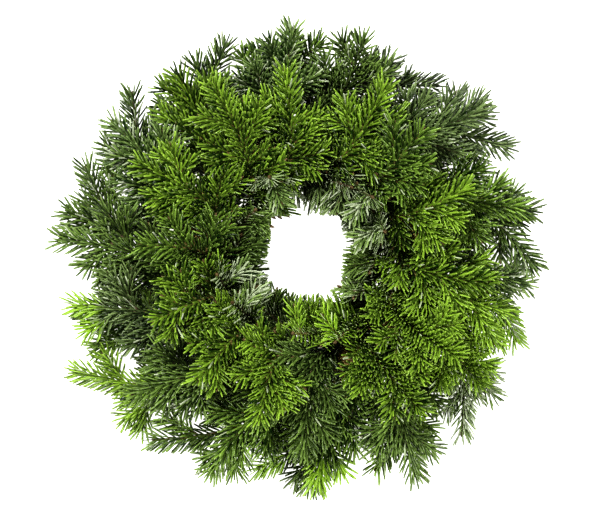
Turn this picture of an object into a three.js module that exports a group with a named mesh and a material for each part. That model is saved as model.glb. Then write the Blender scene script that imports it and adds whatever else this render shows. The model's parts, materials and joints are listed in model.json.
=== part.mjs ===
// A fresh evergreen wreath, lying face up: fir sprigs bound with one long wire to a ring of straw.
//
// Millimetres, +Z up. The wreath faces up, and the origin is the middle of its footprint on the
// surface that it lies on. A clock angle is in degrees, counter-clockwise from +X as seen from
// above, about the middle of the hole. A section angle goes round the straw ring's own section:
// 0 is its outer side, 90 its top and 180 the side that faces the hole.
import * as THREE from 'three';

// Straw ring: a round bundle of straw, pressed flat where it lies.
const RING_RADIUS = 112;
const RING_HALF_WIDTH = 20;
const RING_HALF_HEIGHT = 19;
const RING_SIDES = 10;
const FLAT_CORNERS = [7, 8]; // the section's corners at the ends of its flat underside
const RING_MIDDLE = RING_HALF_HEIGHT * Math.cos(Math.PI / RING_SIDES); // height of its middle

// Binding wire: one closed helix round the straw and the butts of the sprigs.
const TURNS = 14;
const PITCH = 360 / TURNS; // clock angle from one turn to the next
const WIRE_HALF = 0.55; // half the side of the wire's square section
const WIRE_OVER_STEMS = 10.4; // how far the wire's middle stands off the straw over the butts
const WIRE_UNDER = 0.95; // how far its middle is above the flat underside, in a groove
const GROOVE_DEPTH = 1.9;
const GROOVE_MOUTH = 1.9; // half the groove's width at the surface
const GROOVE_BED = 1.2; // half its width at the bottom

// Sprigs
const BUTT = 11; // from a sprig's cut end to the wire that binds it
const SEAT = 3.0; // how far the middle of a cut end stands off the straw
const BUTT_RADIUS = 2.2;
const STEM_TIP_RADIUS = 1.25;
const SIDE_ROOT_RADIUS = 1.5;
const FORK_ANGLE = 44; // least angle of a side shoot to its stem
const FORK_SPREAD = 12; // how much wider the angle may be
const FORKED = 0.5; // share of a stem's length over which its side shoots are spread
const FORK_JITTER = 0.04;
const SIDE_SHARE = 0.5; // a side shoot's length as a share of the stem beyond it, at least
const SIDE_SPREAD = 0.15; // and how much longer it may be
const SIDE_EXTRA = 8;
const SIDE_TURN = 0.35; // how strongly a side shoot turns towards the tip of its stem
const HUG = 15; // past the wire, a stem still runs level with the straw for about this far
const KNEE = 0.36; // how far along its length a stem bends away
const BARE_RINGS = [0, 14]; // where the bare butt bends
const BUD = 6;

// Needles
const NEEDLE = 22;
const WHORL = 21; // from one whorl of needles to the next on a stem
const SIDE_WHORL = 16;
const SIDE_BARE = 8;
const ROOT = 2.4; // length of stem that one whorl of needles grows from
const TWIST = 30; // every other whorl is turned by this
const LEANS = [62, 42]; // a needle's two angles to the stem
const END_LEANS = [46, 22]; // the same in the last whorl of a shoot
const LEAST_LEAN = 30; // no needle is bent nearer to its stem than this
const CLEAR = 0.5; // least air between the needles and stems of different sprigs
const OWN_CLEAR = 0.2; // the same within one sprig, past the roots
const OWN_ROOT = 0.12; // share of a needle that counts as its root
const WHORL_ROOT = 0.2; // the same towards the other needles of its whorl
const FACING = 0.6; // least cosine between a side shoot's side and its facet's
const SQUARE_ON = 0.3; // least cosine between the way it leaves in and the facet's normal
const STRAW_CLEAR = 1;
const CUBE = 14; // side of the cubes of space that are searched for what is near
// How a needle is bent if it would meet something: its lean, its turn about the stem, its size.
const BENDS = [
  [0, 0, 1], [-12, 0, 1], [10, 0, 1], [0, 15, 1], [0, -15, 1], [-20, 10, 0.95], [-20, -10, 0.95],
  [0, 0, 0.8], [-12, 18, 0.85], [-12, -18, 0.85], [-15, 0, 0.65],
];
const FLOOR_CLEAR = 2.0;
const HOLE_CLEAR = 43; // radius that stays open in the middle
const NEEDLE_THIN = 0.1; // half the thickness of a needle's tip
const NO_LENGTH = 1e-9; // a squared length below this counts as none

// Materials: colour, roughness, metalness. Foliage differs in colour only.
const STRAW = [0xb59a5b, 0.95, 0];
const WIRE = [0x3d5a3c, 0.45, 0.6];
const FOLIAGE_ROUGHNESS = 0.55;
const FOLIAGE = {
  bright: 0x6f9a2e,
  green: 0x4a7a2c,
  dark: 0x2c4f2a,
  dusky: 0x3c5a48,
  silver: 0x9db29a,
};

// The rows of sprigs, from the outside in: where on the straw's section a row is bound, how far
// its stems lean off the straw, the length from the cut end that bears no needles, how many side
// shoots a sprig has, where the first one forks off, the longest that one gets, and how far the
// plane that they spread in is tipped outwards.
const ROWS = {
  skirt: { section: 10, lean: 40, bare: 46, shoots: 3, fork: 0.4, longest: 50, tip: 20 },
  shoulder: { section: 62, lean: 32, bare: 36, shoots: 3, fork: 0.36, longest: 52, tip: 10 },
  crown: { section: 136, lean: 50, bare: 18, shoots: 4, fork: 0.26, longest: 44, tip: 0 },
  lip: { section: 182, lean: 22, bare: 18, shoots: 3, fork: 0.3, longest: 26, tip: -40 },
};

// The florist's plan. Every turn of the wire binds one sprig of each row, and the turns go
// clockwise from the top. A sprig is [clock angle of its tip, distance of its tip from the middle
// of the hole, height of its tip, foliage].
const PLAN = {
  skirt: [
    [53, 215, 36, 'dusky'],
    [29, 228, 30, 'dusky'],
    [-2, 227, 36, 'dark'],
    [-21, 226, 22, 'silver'],
    [-48, 236, 28, 'silver'],
    [-71, 222, 32, 'green'],
    [-102, 216, 26, 'dark'],
    [-129, 236, 30, 'green'],
    [-153, 255, 22, 'bright'],
    [-165, 224, 32, 'green'],
    [-202, 236, 26, 'dark'],
    [-223, 236, 34, 'dark'],
    [-249, 226, 24, 'dark'],
    [-274, 213, 40, 'green'],
  ],
  shoulder: [
    [75, 222, 54, 'dark'],
    [40, 228, 60, 'dusky'],
    [13, 219, 56, 'green'],
    [-24, 204, 66, 'bright'],
    [-36, 212, 56, 'bright'],
    [-63, 241, 50, 'dark'],
    [-87, 226, 48, 'green'],
    [-113, 210, 56, 'green'],
    [-141, 216, 58, 'dark'],
    [-168, 232, 50, 'dusky'],
    [-184, 242, 52, 'dark'],
    [-215, 231, 60, 'silver'],
    [-235, 220, 56, 'bright'],
    [-267, 225, 58, 'silver'],
  ],
  crown: [
    [65, 184, 88, 'bright'],
    [47, 168, 98, 'green'],
    [23, 174, 90, 'bright'],
    [-8, 180, 86, 'bright'],
    [-33, 178, 98, 'bright'],
    [-53, 190, 86, 'bright'],
    [-90, 192, 78, 'dark'],
    [-106, 164, 98, 'bright'],
    [-131, 158, 90, 'bright'],
    [-157, 158, 94, 'bright'],
    [-184, 160, 88, 'green'],
    [-209, 186, 80, 'bright'],
    [-242, 188, 102, 'bright'],
    [-264, 182, 88, 'bright'],
  ],
  lip: [
    [42, 88, 98, 'silver'],
    [18, 82, 92, 'silver'],
    [-12, 66, 60, 'dark'],
    [-38, 64, 54, 'silver'],
    [-70, 88, 84, 'bright'],
    [-98, 76, 76, 'bright'],
    [-127, 67, 50, 'dark'],
    [-147, 84, 84, 'silver'],
    [-168, 88, 78, 'silver'],
    [-197, 67, 52, 'dark'],
    [-222, 68, 62, 'dark'],
    [-246, 66, 62, 'green'],
    [-246, 86, 84, 'silver'],
    [-303, 82, 82, 'dusky'],
  ],
};

const UP = new THREE.Vector3(0, 0, 1);
const RADIANS = Math.PI / 180;

/** A small repeatable generator of numbers from 0 to 1. */
function randomFrom(seed) {
  let state = (seed * 2654435761) >>> 0;
  return () => {
    state = (Math.imul(state, 1664525) + 1013904223) >>> 0;
    return state / 4294967296;
  };
}

/** The point at a clock angle, a distance from the middle of the hole and a height. */
function clockPoint(clock, radius, height) {
  return new THREE.Vector3(
    radius * Math.cos(clock * RADIANS), radius * Math.sin(clock * RADIANS), height);
}

/** The point on the straw at a clock angle and a section angle, or off it by a distance. */
function strawPoint(clock, section, off) {
  const radius = RING_RADIUS + (RING_HALF_WIDTH + off) * Math.cos(section * RADIANS);
  const height = RING_MIDDLE + (RING_HALF_HEIGHT + off) * Math.sin(section * RADIANS);
  return clockPoint(clock, radius, height);
}

/** The clock angle at which a turn of the wire passes a section angle. */
function wireClock(turn, section) {
  return 90 - PITCH * (turn + (section - 90) / 360);
}

/** A closed solid from its corners and its triangles. */
function solidOf(points, faces) {
  const geometry = new THREE.BufferGeometry();
  geometry.setAttribute('position',
    new THREE.Float32BufferAttribute(points.flatMap((p) => [p.x, p.y, p.z]), 3));
  geometry.setIndex(faces.flat());
  geometry.computeVertexNormals();
  return geometry;
}

/** A named piece with its own material. */
function piece(name, geometry, [color, roughness, metalness]) {
  const material = new THREE.MeshStandardMaterial({ color, roughness, metalness });
  const mesh = new THREE.Mesh(geometry, material);
  mesh.name = name;
  return mesh;
}

// ---- straw ring and wire -------------------------------------------------------------

/** The straw's skin runs along the wire's helix, so each turn has its groove underneath. */
function strawRing() {
  const bed = GROOVE_BED / RING_RADIUS / RADIANS;
  const mouth = GROOVE_MOUTH / RING_RADIUS / RADIANS;
  const columns = [-mouth, -bed, bed, mouth, PITCH / 2];
  const points = [];
  const faces = [];
  const total = TURNS * columns.length;
  const index = (i, j) => {
    const wrapped = j === RING_SIDES;
    return ((i + (wrapped ? columns.length : 0)) % total) * RING_SIDES + (wrapped ? 0 : j);
  };
  for (let i = 0; i < total; i += 1) {
    const turn = Math.floor(i / columns.length);
    const shift = columns[i % columns.length];
    for (let j = 0; j < RING_SIDES; j += 1) {
      const section = (360 / RING_SIDES) * j;
      const grooved = Math.abs(shift) === bed && FLAT_CORNERS.includes(j);
      const point = strawPoint(wireClock(turn, section) - shift, section, 0);
      point.z += grooved ? GROOVE_DEPTH : 0;
      points.push(point);
      faces.push([index(i, j), index(i, j + 1), index(i + 1, j + 1)]);
      faces.push([index(i, j), index(i + 1, j + 1), index(i + 1, j)]);
    }
  }
  return solidOf(points, faces);
}

/** The middle line of the wire, corner by corner, each with its section angle. */
function wirePath() {
  const path = [];
  for (let turn = 0; turn < TURNS; turn += 1) {
    for (let j = 0; j < RING_SIDES; j += 1) {
      const section = (360 / RING_SIDES) * j;
      const under = FLAT_CORNERS.includes(j);
      const point = strawPoint(wireClock(turn, section), section, under ? 0 : WIRE_OVER_STEMS);
      point.z += under ? WIRE_UNDER : 0;
      path.push({ point, section });
    }
  }
  return path;
}

/** The wire as a bar of square section, joined end to end where its two tails are twisted in. */
function bindingWire(path) {
  const points = [];
  const faces = [];
  const count = path.length;
  path.forEach(({ point, section }, i) => {
    const before = path[(i + count - 1) % count].point;
    const after = path[(i + 1) % count].point;
    const along = after.clone().sub(before).normalize();
    const outward = clockPoint(Math.atan2(point.y, point.x) / RADIANS,
      Math.cos(section * RADIANS), Math.sin(section * RADIANS));
    outward.addScaledVector(along, -outward.dot(along)).normalize();
    const across = along.clone().cross(outward);
    for (const [o, a] of [[1, 1], [-1, 1], [-1, -1], [1, -1]]) {
      points.push(point.clone()
        .addScaledVector(outward, o * WIRE_HALF)
        .addScaledVector(across, a * WIRE_HALF));
    }
    for (let side = 0; side < 4; side += 1) {
      const a = i * 4 + side;
      const b = i * 4 + ((side + 1) % 4);
      const c = ((i + 1) % count) * 4;
      faces.push([a, b, c + ((side + 1) % 4)], [a, c + ((side + 1) % 4), c + side]);
    }
  });
  return solidOf(points, faces);
}

// ---- keeping clear -------------------------------------------------------------------

/** The nearest approach of segments a-b and c-d, as distance and place along each. */
function approach(a, b, c, d) {
  const u = b.clone().sub(a);
  const v = d.clone().sub(c);
  const w = a.clone().sub(c);
  const uu = u.dot(u);
  const vv = v.dot(v);
  const uv = u.dot(v);
  const uw = u.dot(w);
  const vw = v.dot(w);
  const skew = uu * vv - uv * uv;
  let s = skew > NO_LENGTH ? THREE.MathUtils.clamp((uv * vw - vv * uw) / skew, 0, 1) : 0;
  const t = vv > NO_LENGTH ? THREE.MathUtils.clamp((uv * s + vw) / vv, 0, 1) : 0;
  s = THREE.MathUtils.clamp((uv * t - uw) / uu, 0, 1);
  const gap = a.clone().addScaledVector(u, s).distanceTo(c.clone().addScaledVector(v, t));
  return { gap, s, t };
}

/** Everything that a new needle has to miss, in cubes of space. */
class Crowd {
  constructor() {
    this.cubes = new Map();
  }

  /** The names of the cubes within a margin of the box around segment a-b. */
  * keys(a, b, margin) {
    const low = a.clone().min(b).subScalar(margin).divideScalar(CUBE).floor();
    const high = a.clone().max(b).addScalar(margin).divideScalar(CUBE).floor();
    for (let x = low.x; x <= high.x; x += 1) {
      for (let y = low.y; y <= high.y; y += 1) {
        for (let z = low.z; z <= high.z; z += 1) {
          yield `${x},${y},${z}`;
        }
      }
    }
  }

  /** Adds a tapered rod: a needle, which has a whorl, or a length of stem or wire. */
  add(rod) {
    for (const key of this.keys(rod.from, rod.to, 0)) {
      if (!this.cubes.has(key)) {
        this.cubes.set(key, []);
      }
      this.cubes.get(key).push(rod);
    }
  }

  /** Whether a new needle meets anything but the shoot that it grows on. */
  meets(rod) {
    for (const key of this.keys(rod.from, rod.to, BUTT_RADIUS + CLEAR)) {
      for (const other of this.cubes.get(key) ?? []) {
        const ownStem = other.whorl === '' && other.shoot === rod.shoot;
        if (!ownStem && this.touches(rod, other)) {
          return true;
        }
      }
    }
    return false;
  }

  /** Whether two rods come too near. Within a sprig, a needle's root is left out. */
  touches(rod, other) {
    const own = rod.sprig === other.sprig;
    const ownRoot = rod.whorl === other.whorl ? WHORL_ROOT : OWN_ROOT;
    const from = own ? rod.from.clone().lerp(rod.to, ownRoot) : rod.from;
    const near = approach(from, rod.to, other.from, other.to);
    const thick = THREE.MathUtils.lerp(rod.thick, rod.thin, near.s)
      + THREE.MathUtils.lerp(other.thick, other.thin, near.t);
    return near.gap < thick + (own ? OWN_CLEAR : CLEAR);
  }
}

/** Keeps needles away from the wire. */
function guardWire(path, crowd) {
  const half = WIRE_HALF * Math.SQRT2;
  path.forEach(({ point }, i) => {
    const after = path[(i + 1) % path.length].point;
    crowd.add({
      from: point,
      to: after,
      thick: half,
      thin: half,
      sprig: -1,
      shoot: 'wire',
      whorl: 'wire',
    });
  });
}

/** Whether a point keeps out of the straw, off the surface below and out of the hole. */
function inFreeSpace(point) {
  const radius = Math.hypot(point.x, point.y);
  const across = (radius - RING_RADIUS) / (RING_HALF_WIDTH + STRAW_CLEAR);
  const above = (point.z - RING_MIDDLE) / (RING_HALF_HEIGHT + STRAW_CLEAR);
  return Math.hypot(across, above) > 1 && point.z > FLOOR_CLEAR && radius > HOLE_CLEAR;
}

// ---- sprigs --------------------------------------------------------------------------

/** The stem of a sprig: along the straw where it is bound, then out to its tip. */
function stemCurve(row, turn, [clock, radius, height]) {
  const { section, lean } = ROWS[row];
  const bound = wireClock(turn, section);
  const seat = strawPoint(bound, section, SEAT);
  const along = clockPoint(bound - 90, 1, 0);
  const off = clockPoint(bound, Math.cos(section * RADIANS), Math.sin(section * RADIANS));
  const cut = seat.clone().addScaledVector(along, -BUTT);
  const tip = clockPoint(clock, radius, height);
  const reach = KNEE * cut.distanceTo(tip);
  const knee = seat.clone()
    .addScaledVector(along, reach * Math.cos(lean * RADIANS))
    .addScaledVector(off, reach * Math.sin(lean * RADIANS));
  const flat = seat.clone().addScaledVector(along, HUG);
  return new THREE.CubicBezierCurve3(cut, flat, knee, tip);
}

/** Where the side shoots leave a stem: how far along, on which side, how steeply, how long. */
function sideShoots(row, length, random) {
  const { shoots, fork, longest } = ROWS[row];
  const first = random() < 0.5 ? 1 : -1;
  const sides = [];
  for (let i = 0; i < shoots; i += 1) {
    const along = length * (fork + (FORKED / shoots) * i + FORK_JITTER * random());
    const share = SIDE_SHARE + SIDE_SPREAD * random();
    sides.push({
      along,
      side: i % 2 === 0 ? first : -first,
      angle: FORK_ANGLE + FORK_SPREAD * random(),
      length: Math.min(longest, (length - along) * share + SIDE_EXTRA),
    });
  }
  return sides;
}

/** The way across a stem in the plane that its side shoots spread in, towards the hole. */
function acrossSpray(row, point, forward) {
  const tip = ROWS[row].tip * RADIANS;
  const clock = Math.atan2(point.y, point.x) / RADIANS;
  const face = clockPoint(clock, Math.sin(tip), Math.cos(tip));
  return forward.clone().cross(face).normalize();
}

/** The way in which a side shoot leaves its stem. */
function sideWay(forward, sideways, angle) {
  return forward.clone().multiplyScalar(Math.cos(angle * RADIANS))
    .addScaledVector(sideways, Math.sin(angle * RADIANS));
}

/** A side shoot sets out in its way and then turns a little towards the tip of its stem. */
function sideCurve(start, forward, way, length) {
  const end = way.clone().add(forward.clone().multiplyScalar(SIDE_TURN)).normalize();
  const knee = start.clone().addScaledVector(way, length / 2);
  return new THREE.QuadraticBezierCurve3(start, knee, knee.clone().addScaledVector(end, length / 2));
}

/** Places of the rings of corners along a shoot. A pair of rings bears a whorl of needles. */
function ringPlaces(length, bare, pitch) {
  const whorls = Math.max(1, Math.round((length - bare) / pitch));
  const step = (length - bare) / whorls;
  const places = [];
  for (let i = 1; i <= whorls; i += 1) {
    const middle = bare + step * i - ROOT;
    places.push({ at: middle - ROOT / 2, bears: true }, { at: middle + ROOT / 2, bears: false });
  }
  return places;
}

/** The rings of three corners of a shoot, carried along its curve without twisting. */
function shootRings(curve, places, firstNormal, rootRadius) {
  const length = curve.getLength();
  const normal = firstNormal.clone();
  return places.map(({ at, bears }, i) => {
    const centre = curve.getPointAt(Math.min(1, at / length));
    const forward = curve.getTangentAt(Math.min(1, at / length));
    normal.addScaledVector(forward, -normal.dot(forward)).normalize();
    const across = forward.clone().cross(normal);
    const radius = THREE.MathUtils.lerp(rootRadius, STEM_TIP_RADIUS, at / length);
    const turned = Math.ceil(i / 2) % 2 === 0 ? 0 : TWIST;
    const corners = [0, 120, 240].map((degrees) => {
      const angle = (degrees + turned) * RADIANS;
      return centre.clone()
        .addScaledVector(normal, radius * Math.cos(angle))
        .addScaledVector(across, radius * Math.sin(angle));
    });
    return { at, centre, forward, corners, radius, bears };
  });
}

/** The item for which a measure is least. */
function least(items, measure) {
  return items.reduce((best, one) => (measure(one) < measure(best) ? one : best));
}

/** The six facets between two rings of three corners. */
function sleeve(lower, upper) {
  return [0, 1, 2].flatMap((side) => {
    const next = (side + 1) % 3;
    return [
      [lower[side], lower[next], upper[next]],
      [lower[side], upper[next], upper[side]],
    ];
  });
}

/** A sprig grows as one closed skin: a stem, its side shoots and their needles. */
class Sprig {
  constructor(number, crowd) {
    this.number = number;
    this.crowd = crowd;
    this.points = [];
    this.faces = [];
    this.whorls = [];
    this.shoots = 0;
  }

  /** Adds a corner of the skin and returns its number. */
  corner(point) {
    return this.points.push(point) - 1;
  }

  /** The whorls of the main stem, which is the first shoot that grows. */
  stemWhorls() {
    return this.whorls.filter((whorl) => whorl.shoot === this.whorls[0].shoot);
  }

  /** Grows one shoot ring by ring to its bud, from its own cut end or from a facet of its stem. */
  grow(rings, start, root) {
    this.shoots += 1;
    const shoot = `${this.number}.${this.shoots}`;
    const circles = rings.map((ring) => ring.corners.map((point) => this.corner(point)));
    this.faces.push(...(root ? sleeve(root, circles[0]) : [[...circles[0]].reverse()]));
    this.guard(shoot, { centre: start, radius: rings[0].radius }, rings[0]);
    for (let i = 0; i + 1 < rings.length; i += 1) {
      const facets = sleeve(circles[i], circles[i + 1]);
      if (rings[i].bears) {
        this.addWhorl(shoot, rings[i], rings[i + 1], facets, i + 2 === rings.length);
      } else {
        this.faces.push(...facets);
      }
      this.guard(shoot, rings[i], rings[i + 1]);
    }
    const { centre, forward } = rings[rings.length - 1];
    const bud = this.corner(centre.clone().addScaledVector(forward, BUD));
    const [a, b, c] = circles[circles.length - 1];
    this.faces.push([a, b, bud], [b, c, bud], [c, a, bud]);
  }

  /** Keeps needles away from a length of a shoot. */
  guard(shoot, lower, upper) {
    this.crowd.add({
      from: lower.centre,
      to: upper.centre,
      thick: lower.radius,
      thin: upper.radius,
      sprig: this.number,
      shoot,
      whorl: '',
    });
  }

  /** Keeps six facets as the sites of a whorl's needles. */
  addWhorl(shoot, lower, upper, facets, last) {
    const middle = lower.centre.clone().lerp(upper.centre, 0.5);
    const sites = facets.map((facet, i) => {
      const [a, b, c] = facet.map((corner) => this.points[corner]);
      const root = a.clone().add(b).add(c).divideScalar(3);
      const out = root.clone().sub(middle);
      out.addScaledVector(lower.forward, -out.dot(lower.forward)).normalize();
      const face = b.clone().sub(a).cross(c.clone().sub(a)).normalize();
      return { facet, root, out, face, lean: (last ? END_LEANS : LEANS)[i % 2], free: true };
    });
    this.whorls.push({
      shoot,
      name: `${shoot}.${this.whorls.length}`,
      at: lower.at,
      middle,
      forward: lower.forward,
      sites,
    });
  }

  /** Takes a facet that faces a side shoot's way, at the nearest whorl that has one free. */
  siteFor(along, sideways, way) {
    const fits = (site) => site.free && site.out.dot(sideways) > FACING
      && site.face.dot(way) > SQUARE_ON;
    const whorls = this.stemWhorls().filter((one) => one.sites.some(fits));
    const whorl = least(whorls, (one) => Math.abs(one.at - along));
    const site = least(whorl.sites.filter(fits), (one) => -one.out.dot(sideways));
    const number = whorl.sites.indexOf(site);
    const twin = whorl.sites[number % 2 === 0 ? number + 1 : number - 1];
    site.free = false;
    twin.free = false;
    this.faces.push(twin.facet);
    return { whorl, site };
  }

  /** Raises every free facet into a needle, bent clear of what is there, or leaves it flat. */
  raiseNeedles() {
    for (const whorl of this.whorls) {
      for (const site of whorl.sites.filter((one) => one.free)) {
        const tip = this.freeTip(whorl, site);
        if (tip === null) {
          this.faces.push(site.facet);
        } else {
          const [a, b, c] = site.facet;
          const d = this.corner(tip);
          this.faces.push([a, b, d], [b, c, d], [c, a, d]);
        }
      }
    }
  }

  /** Where a site's needle may end, bent as little as it can be, or null if nowhere. */
  freeTip(whorl, site) {
    for (const [lean, turn, size] of BENDS) {
      const out = site.out.clone().applyAxisAngle(whorl.forward, turn * RADIANS);
      const angle = Math.max(Math.min(LEAST_LEAN, site.lean), site.lean + lean) * RADIANS;
      const way = whorl.forward.clone().multiplyScalar(Math.cos(angle))
        .addScaledVector(out, Math.sin(angle));
      const tip = site.root.clone().addScaledVector(way, NEEDLE * size);
      const rod = {
        from: site.root,
        to: tip,
        thick: ROOT / 2,
        thin: NEEDLE_THIN,
        sprig: this.number,
        shoot: whorl.shoot,
        whorl: whorl.name,
      };
      const middle = site.root.clone().lerp(tip, 0.5);
      if (inFreeSpace(tip) && inFreeSpace(middle) && !this.crowd.meets(rod)) {
        this.crowd.add(rod);
        return tip;
      }
    }
    return null;
  }
}

/** Grows a sprig's stem and side shoots. Its needles are raised later. */
function growSprig(number, row, turn, tip, crowd) {
  const random = randomFrom(number + 1);
  const sprig = new Sprig(number, crowd);
  const curve = stemCurve(row, turn, tip);
  const length = curve.getLength();
  const places = [...BARE_RINGS.map((at) => ({ at, bears: false })),
    ...ringPlaces(length, ROWS[row].bare, WHORL)];
  sprig.grow(shootRings(curve, places, UP, BUTT_RADIUS), curve.v0, null);
  for (const plan of sideShoots(row, length, random)) {
    const forward = curve.getTangentAt(plan.along / length);
    const sideways = acrossSpray(row, curve.getPointAt(plan.along / length), forward)
      .multiplyScalar(plan.side);
    const way = sideWay(forward, sideways, plan.angle);
    const { whorl, site } = sprig.siteFor(plan.along, sideways, way);
    const side = sideCurve(whorl.middle, forward, way, plan.length);
    const sidePlaces = ringPlaces(side.getLength(), SIDE_BARE, SIDE_WHORL);
    const firstNormal = sprig.points[site.facet[0]].clone().sub(site.root);
    const rings = shootRings(side, sidePlaces, firstNormal, SIDE_ROOT_RADIUS);
    sprig.grow(rings, site.root, site.facet);
  }
  return sprig;
}

/** All sprigs of the plan: first every stem, then the needles, which keep clear of them all. */
function growSprigs(crowd) {
  const sprigs = [];
  for (const [row, tips] of Object.entries(PLAN)) {
    tips.forEach((tip, turn) => {
      const name = `fir_sprig_${row}_${String(turn + 1).padStart(2, '0')}`;
      const sprig = growSprig(sprigs.length, row, turn, tip, crowd);
      sprigs.push(Object.assign(sprig, { name, foliage: tip[3] }));
    });
  }
  sprigs.forEach((sprig) => sprig.raiseNeedles());
  return sprigs;
}

/** Puts the middle of the footprint at the origin. */
function settle(group) {
  const box = new THREE.Box3().setFromObject(group);
  const middle = box.getCenter(new THREE.Vector3());
  group.position.set(-middle.x, -middle.y, -box.min.z);
}

const crowd = new Crowd();
const path = wirePath();
guardWire(path, crowd);

const wreath = new THREE.Group();
wreath.add(piece('straw_ring', strawRing(), STRAW));
wreath.add(piece('binding_wire', bindingWire(path), WIRE));
for (const { name, points, faces, foliage } of growSprigs(crowd)) {
  wreath.add(piece(name, solidOf(points, faces), [FOLIAGE[foliage], FOLIAGE_ROUGHNESS, 0]));
}
settle(wreath);

export default wreath;
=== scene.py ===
"""A fresh evergreen wreath of fir sprigs on a straw ring, laid face up and seen from above.

Shapes are worked out in millimetres about the middle of the hole and go into metres as meshes are
made. A clock angle is in degrees, counter-clockwise from +X as seen from above. A section angle
goes round the straw ring's own section: 0 is its outer side, 90 its top and 180 its inner side.
"""
import json
import math

import bpy
import numpy as np
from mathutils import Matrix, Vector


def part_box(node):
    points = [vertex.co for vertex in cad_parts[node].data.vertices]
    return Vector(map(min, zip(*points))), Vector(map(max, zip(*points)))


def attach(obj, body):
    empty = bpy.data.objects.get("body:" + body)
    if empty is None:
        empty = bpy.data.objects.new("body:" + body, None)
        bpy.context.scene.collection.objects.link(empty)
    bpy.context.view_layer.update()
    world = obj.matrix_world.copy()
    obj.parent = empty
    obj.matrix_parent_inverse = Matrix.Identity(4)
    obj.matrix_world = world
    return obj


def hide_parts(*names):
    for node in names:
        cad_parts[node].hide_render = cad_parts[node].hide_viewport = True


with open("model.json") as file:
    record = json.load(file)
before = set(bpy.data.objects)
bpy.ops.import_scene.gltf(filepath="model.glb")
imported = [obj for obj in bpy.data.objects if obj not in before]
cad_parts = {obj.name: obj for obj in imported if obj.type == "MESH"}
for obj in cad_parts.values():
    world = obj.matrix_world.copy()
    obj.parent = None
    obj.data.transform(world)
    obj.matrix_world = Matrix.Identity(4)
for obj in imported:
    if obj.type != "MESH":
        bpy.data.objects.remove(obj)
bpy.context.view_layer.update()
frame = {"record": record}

MM = 0.001

# ---- the plan of the wreath, as in the solid model ----

RING_RADIUS = 112.0
RING_HALF_WIDTH = 20.0
RING_HALF_HEIGHT = 19.0
RING_SIDES = 10
RING_MIDDLE = RING_HALF_HEIGHT * math.cos(math.pi / RING_SIDES)
FLAT_CORNERS = (7, 8)  # the section's corners at the ends of its flat underside

TURNS = 14
PITCH = 360.0 / TURNS
WIRE_OVER_STEMS = 10.4  # how far the wire's middle stands off the straw over the butts
WIRE_UNDER = 0.95  # how far its middle is above the flat underside

BUTT = 11.0  # from a sprig's cut end to the wire that binds it
SEAT = 3.0
BUTT_RADIUS = 2.2
STEM_TIP_RADIUS = 1.25
SIDE_ROOT_RADIUS = 1.5
FORK_ANGLE = 44.0
FORK_SPREAD = 12.0
FORKED = 0.5
FORK_JITTER = 0.04
SIDE_SHARE = 0.5
SIDE_SPREAD = 0.15
SIDE_EXTRA = 8.0
SIDE_TURN = 0.35
SIDE_BARE = 4.0
HUG = 15.0
KNEE = 0.36
BUD = 6.0
WHORL = 21.0  # side shoots leave a stem at these steps
WHORL_BACK = 3.6  # how far before its whorl a side shoot's root is

# Each row: the section angle that it is bound at, how far its stems lean off the straw, how long
# they stay bare, how many side shoots they have, where the first one forks off as a share of the
# stem, how long one gets, and how far a spray's face tips outwards.
ROWS = {
    "skirt": dict(section=10, lean=40, bare=46, shoots=3, fork=0.4, longest=50, tip=20),
    "shoulder": dict(section=62, lean=32, bare=36, shoots=3, fork=0.36, longest=52, tip=10),
    "crown": dict(section=136, lean=50, bare=18, shoots=4, fork=0.26, longest=44, tip=0),
    "lip": dict(section=182, lean=22, bare=18, shoots=3, fork=0.3, longest=26, tip=-40),
}

# Clock angle, distance from the middle of the hole and height of each sprig's tip, and its foliage.
PLAN = {
    "skirt": [
        (53, 215, 36, "dusky"), (29, 228, 30, "dusky"), (-2, 227, 36, "dark"), (-21, 226, 22, "silver"),
        (-48, 236, 28, "silver"), (-71, 222, 32, "green"), (-102, 216, 26, "dark"),
        (-129, 236, 30, "green"), (-153, 255, 22, "bright"), (-165, 224, 32, "green"),
        (-202, 236, 26, "dark"), (-223, 236, 34, "dark"), (-249, 226, 24, "dark"),
        (-274, 213, 40, "green"),
    ],
    "shoulder": [
        (75, 222, 54, "dark"), (40, 228, 60, "dusky"), (13, 219, 56, "green"), (-24, 204, 66, "bright"),
        (-36, 212, 56, "bright"), (-63, 241, 50, "dark"), (-87, 226, 48, "green"),
        (-113, 210, 56, "green"), (-141, 216, 58, "dark"), (-168, 232, 50, "dusky"),
        (-184, 242, 52, "dark"), (-215, 231, 60, "silver"), (-235, 220, 56, "bright"),
        (-267, 225, 58, "silver"),
    ],
    "crown": [
        (65, 184, 88, "bright"), (47, 168, 98, "green"), (23, 174, 90, "bright"), (-8, 180, 86, "bright"),
        (-33, 178, 98, "bright"), (-53, 190, 86, "bright"), (-90, 192, 78, "dark"),
        (-106, 164, 98, "bright"), (-131, 158, 90, "bright"), (-157, 158, 94, "bright"),
        (-184, 160, 88, "green"), (-209, 186, 80, "bright"), (-242, 188, 102, "bright"),
        (-264, 182, 88, "bright"),
    ],
    "lip": [
        (42, 88, 98, "silver"), (18, 82, 92, "silver"), (-12, 66, 60, "dark"), (-38, 64, 54, "silver"),
        (-70, 88, 84, "bright"), (-98, 76, 76, "bright"), (-127, 67, 50, "dark"), (-147, 84, 84, "silver"),
        (-168, 88, 78, "silver"), (-197, 67, 52, "dark"), (-222, 68, 62, "dark"), (-246, 66, 62, "green"),
        (-246, 86, 84, "silver"), (-303, 82, 82, "dusky"),
    ],
}

# ---- the shoots that the scene adds ----

BARE_SHARE = 0.4  # share of a row's bare length that has no fine needles either
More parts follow.
